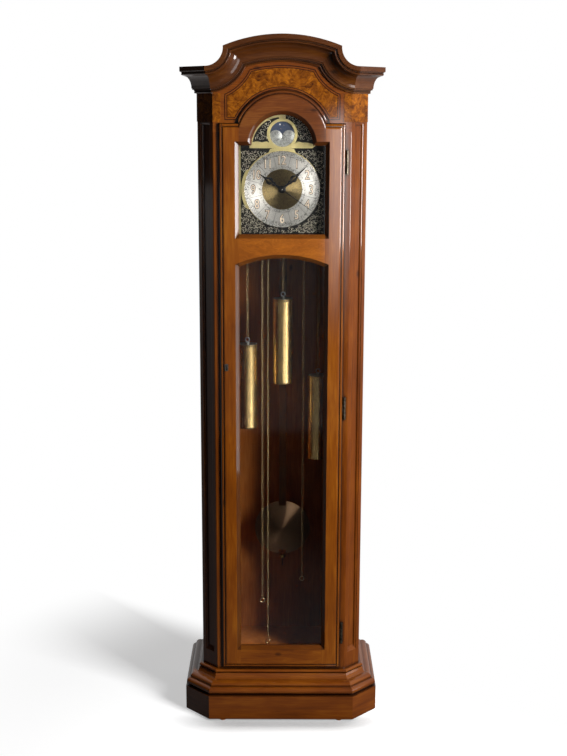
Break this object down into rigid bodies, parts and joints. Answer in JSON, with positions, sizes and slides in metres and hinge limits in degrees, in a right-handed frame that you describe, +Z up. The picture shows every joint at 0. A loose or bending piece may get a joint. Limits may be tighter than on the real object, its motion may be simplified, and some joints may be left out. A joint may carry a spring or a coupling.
{
  "type": "longcase clock",
  "caption": "Tall floor clock with canted corners, arched cornice, long glazed door, arched moon dial, brass weights on chains and a round-bobbed pendulum.",
  "frame": {"origin": "on the floor, in the middle of the plan's bounding box", "axes": "+X to the right seen from the front, +Y to the back, +Z up"},
  "size_m": [0.58, 0.336, 2.002],
  "materials": {
    "case_wood": "glossy clear lacquer over red-brown stained hardwood",
    "door_wood": "glossy clear lacquer over red-brown stained hardwood",
    "inner_wood": "satin stained board",
    "burl": "glossy lacquer over orange-brown burl veneer",
    "rod_wood": "satin varnish",
    "foot_wood": "clear varnish over pale wood",
    "glass": "clear polished sheet",
    "brass": "polished",
    "weight_brass": "polished",
    "dial_brass": "satin, lacquered",
    "dial_bronze": "circularly brushed dark bronze",
    "dial_black": "matt black",
    "silvered": "silvered satin",
    "steel": "brushed",
    "bob_steel": "radially brushed",
    "hands": "gloss black",
    "moon_blue": "satin"
  },
  "bodies": {
    "case": {"plinth_block": "case_wood", "base_moulding": "case_wood", "case_floor": "inner_wood", "glide_feet": "foot_wood", "back_board": "inner_wood", "side_panels": "case_wood", "corner_posts": "case_wood", "front_frame": "case_wood", "frieze_board": "case_wood", "burl_veneers": "burl", "cornice": "case_wood", "top_board": "inner_wood", "seat_board": "inner_wood", "front_plate": "brass", "back_plate": "brass", "plate_pillars": "brass", "dial_plate": "dial_black", "dial_mounts": "dial_brass", "chapter_ring": "silvered", "dial_centre": "dial_bronze", "gong_rods": "steel", "suspension_cock": "brass", "hinge_leaves_case": "brass", "chain_left": "steel", "chain_centre": "steel", "chain_right": "steel"},
    "door": {"door_stiles": "door_wood", "door_arch_rail": "door_wood", "door_mid_rail": "door_wood", "door_bottom_rail": "door_wood", "dial_glass": "glass", "trunk_glass": "glass", "door_lock": "steel", "hinge_leaves_door": "brass"},
    "bolt": {"lock_bolt": "brass"},
    "minute": {"minute_hand": "hands", "centre_wheel": "brass"},
    "hour": {"hour_hand": "hands", "hour_wheel": "brass"},
    "motion": {"minute_wheel": "brass"},
    "seconds": {"seconds_hand": "hands"},
    "great": {"great_wheel": "brass"},
    "intermediate": {"intermediate_wheel": "brass"},
    "third": {"third_wheel": "brass"},
    "escape": {"escape_wheel": "brass"},
    "anchor": {"pallet_anchor": "steel"},
    "pendulum": {"pendulum_rod": "rod_wood", "pendulum_bob": "bob_steel"},
    "nut": {"rating_nut": "brass"},
    "moon": {"moon_disc": "moon_blue"},
    "left_sprocket": {"sprocket_left": "brass"},
    "centre_sprocket": {"sprocket_centre": "brass"},
    "right_sprocket": {"sprocket_right": "brass"},
    "left_weight": {"weight_left": "weight_brass"},
    "centre_weight": {"weight_centre": "weight_brass"},
    "right_weight": {"weight_right": "weight_brass"},
    "left_ring": {"chain_ring_left": "brass"},
    "centre_ring": {"chain_ring_centre": "brass"},
    "right_ring": {"chain_ring_right": "brass"},
    "hammers": {"strike_hammers": "steel"}
  },
  "joints": [
    {"name": "door_swing", "type": "hinge", "parent": "case", "child": "door", "pos_m": [0.1815, -0.1075, 1], "axis": [0, 0, 1], "range_deg": [0, 110]},
    {"name": "bolt_slide", "type": "slide", "parent": "door", "child": "bolt", "axis": [-1, 0, 0], "range_m": [0, 0.006]},
    {"name": "minute_turn", "type": "hinge", "parent": "case", "child": "minute", "pos_m": [0, -0.02, 1.581], "axis": [0, 1, 0], "continuous": true},
    {"name": "hour_turn", "type": "hinge", "parent": "case", "child": "hour", "pos_m": [0, -0.04, 1.581], "axis": [0, 1, 0], "continuous": true},
    {"name": "motion_turn", "type": "hinge", "parent": "case", "child": "motion", "pos_m": [-0.02, -0.035, 1.566], "axis": [0, 1, 0], "continuous": true},
    {"name": "third_turn", "type": "hinge", "parent": "case", "child": "third", "pos_m": [0.02448, 0.01, 1.56366], "axis": [0, 1, 0], "continuous": true},
    {"name": "seconds_turn", "type": "hinge", "parent": "case", "child": "seconds", "pos_m": [0, -0.01, 1.581], "axis": [0, 1, 0], "continuous": true},
    {"name": "escape_turn", "type": "hinge", "parent": "case", "child": "escape", "pos_m": [0.02, 0.02, 1.534], "axis": [0, 1, 0], "continuous": true},
    {"name": "intermediate_turn", "type": "hinge", "parent": "case", "child": "intermediate", "pos_m": [-0.02396, 0.01, 1.54835], "axis": [0, 1, 0], "continuous": true},
    {"name": "great_turn", "type": "hinge", "parent": "case", "child": "great", "pos_m": [-0.019, 0.01, 1.5], "axis": [0, 1, 0], "continuous": true},
    {"name": "pendulum_swing", "type": "hinge", "parent": "case", "child": "pendulum", "pos_m": [0.003, 0.088, 1.556], "axis": [0, 1, 0], "range_deg": [-3, 3]},
    {"name": "anchor_rock", "type": "hinge", "parent": "case", "child": "anchor", "pos_m": [0.003, 0.06, 1.556], "axis": [0, 1, 0], "range_deg": [-3, 3]},
    {"name": "rating_turn", "type": "hinge", "parent": "pendulum", "child": "nut", "pos_m": [0.003, 0.088, 0.432], "axis": [0, 0, 1], "continuous": true},
    {"name": "moon_turn", "type": "hinge", "parent": "case", "child": "moon", "pos_m": [0, -0.0673, 1.7], "axis": [0, 1, 0], "continuous": true},
    {"name": "left_weight_drop", "type": "slide", "parent": "case", "child": "left_weight", "axis": [0, 0, 1], "range_m": [-0.685, 0.136], "deforming": ["chain_left"]},
    {"name": "left_ring_rise", "type": "slide", "parent": "case", "child": "left_ring", "axis": [0, 0, 1], "range_m": [-0.136, 0.685]},
    {"name": "left_sprocket_turn", "type": "hinge", "parent": "case", "child": "left_sprocket", "pos_m": [-0.08, 0.008, 1.5], "axis": [0, 1, 0], "range_deg": [-1785, 356]},
    {"name": "centre_weight_drop", "type": "slide", "parent": "case", "child": "centre_weight", "axis": [0, 0, 1], "range_m": [-0.826, 0], "deforming": ["chain_centre"]},
    {"name": "centre_ring_rise", "type": "slide", "parent": "case", "child": "centre_ring", "axis": [0, 0, 1], "range_m": [0, 0.826]},
    {"name": "centre_sprocket_turn", "type": "hinge", "parent": "case", "child": "centre_sprocket", "pos_m": [-0.019, 0.008, 1.5], "axis": [0, 1, 0], "range_deg": [0, 2153]},
    {"name": "right_weight_drop", "type": "slide", "parent": "case", "child": "right_weight", "axis": [0, 0, 1], "range_m": [-0.59, 0.205], "deforming": ["chain_right"]},
    {"name": "right_ring_rise", "type": "slide", "parent": "case", "child": "right_ring", "axis": [0, 0, 1], "range_m": [-0.205, 0.59]},
    {"name": "right_sprocket_turn", "type": "hinge", "parent": "case", "child": "right_sprocket", "pos_m": [0.086, 0.008, 1.5], "axis": [0, 1, 0], "range_deg": [-535, 1538]},
    {"name": "hammers_lift", "type": "hinge", "parent": "case", "child": "hammers", "pos_m": [0.004, 0.106, 1.6], "axis": [1, 0, 0], "range_deg": [0, 15], "stiffness_Nm_per_rad": 0.08, "springref_deg": -17.19}
  ],
  "couplings": [
    {"joint": "left_ring_rise", "follows": "left_weight_drop", "ratio": -1},
    {"joint": "left_sprocket_turn", "follows": "left_weight_drop", "rad_per_m": 45.455},
    {"joint": "centre_ring_rise", "follows": "centre_weight_drop", "ratio": -1},
    {"joint": "centre_sprocket_turn", "follows": "centre_weight_drop", "rad_per_m": -45.455},
    {"joint": "right_ring_rise", "follows": "right_weight_drop", "ratio": -1},
    {"joint": "right_sprocket_turn", "follows": "right_weight_drop", "rad_per_m": -45.455},
    {"joint": "hour_turn", "follows": "minute_turn", "ratio": 0.083333},
    {"joint": "motion_turn", "follows": "minute_turn", "ratio": -0.33333},
    {"joint": "third_turn", "follows": "minute_turn", "ratio": -8},
    {"joint": "seconds_turn", "follows": "minute_turn", "ratio": 60},
    {"joint": "escape_turn", "follows": "minute_turn", "ratio": 60},
    {"joint": "intermediate_turn", "follows": "minute_turn", "ratio": -0.25},
    {"joint": "great_turn", "follows": "minute_turn", "ratio": 0.03125},
    {"joint": "anchor_rock", "follows": "pendulum_swing", "ratio": 1}
  ]
}
